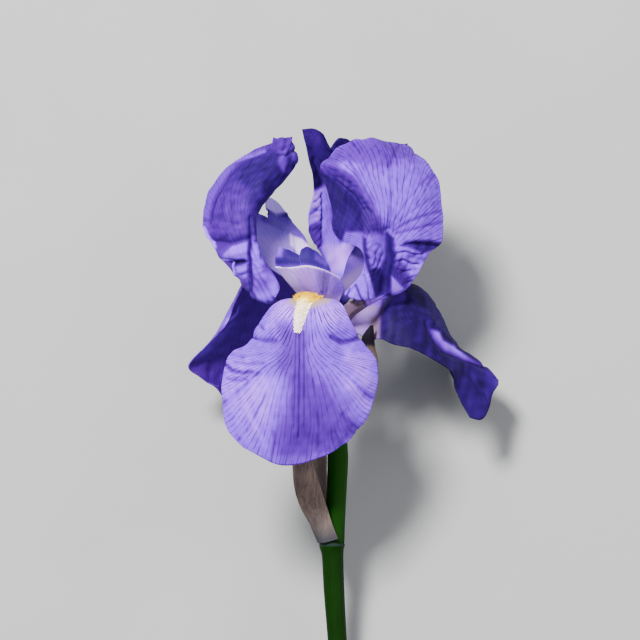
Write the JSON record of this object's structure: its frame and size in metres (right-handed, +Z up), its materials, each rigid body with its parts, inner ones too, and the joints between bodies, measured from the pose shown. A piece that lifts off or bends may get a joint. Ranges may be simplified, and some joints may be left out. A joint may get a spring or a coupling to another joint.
{
  "type": "bearded iris flower",
  "caption": "Cut bearded iris flower on its stem, lying on its back: upright standards, hanging bearded falls, style arms, papery bracts.",
  "frame": {"origin": "centre of the bottom face of the bounding box of the flower as it lies", "axes": "+Y along the stem from its cut end towards the flower, +Z up from the surface it lies on, +X to the right seen from above with the stem towards the viewer"},
  "size_m": [0.1106, 0.214, 0.0768],
  "materials": {
    "fall": "matte",
    "standard": "matte",
    "style_arm": "satin",
    "beard": "matte",
    "filament": "matte",
    "anther": "matte",
    "perianth_tube": "satin",
    "ovary": "satin",
    "stem": "satin",
    "bract": "matte"
  },
  "bodies": {
    "root": {"stem": "stem", "ovary": "ovary", "perianth_tube": "perianth_tube", "front_fall": "fall", "right_fall": "fall", "left_fall": "fall", "front_beard": "beard", "right_beard": "beard", "left_beard": "beard", "left_standard": "standard", "right_standard": "standard", "back_standard": "standard", "front_style_arm": "style_arm", "right_style_arm": "style_arm", "left_style_arm": "style_arm", "front_filament": "filament", "right_filament": "filament", "left_filament": "filament", "front_anther": "anther", "right_anther": "anther", "left_anther": "anther", "side_bract": "bract", "right_spathe_valve": "bract", "left_spathe_valve": "bract"}
  },
  "joints": []
}
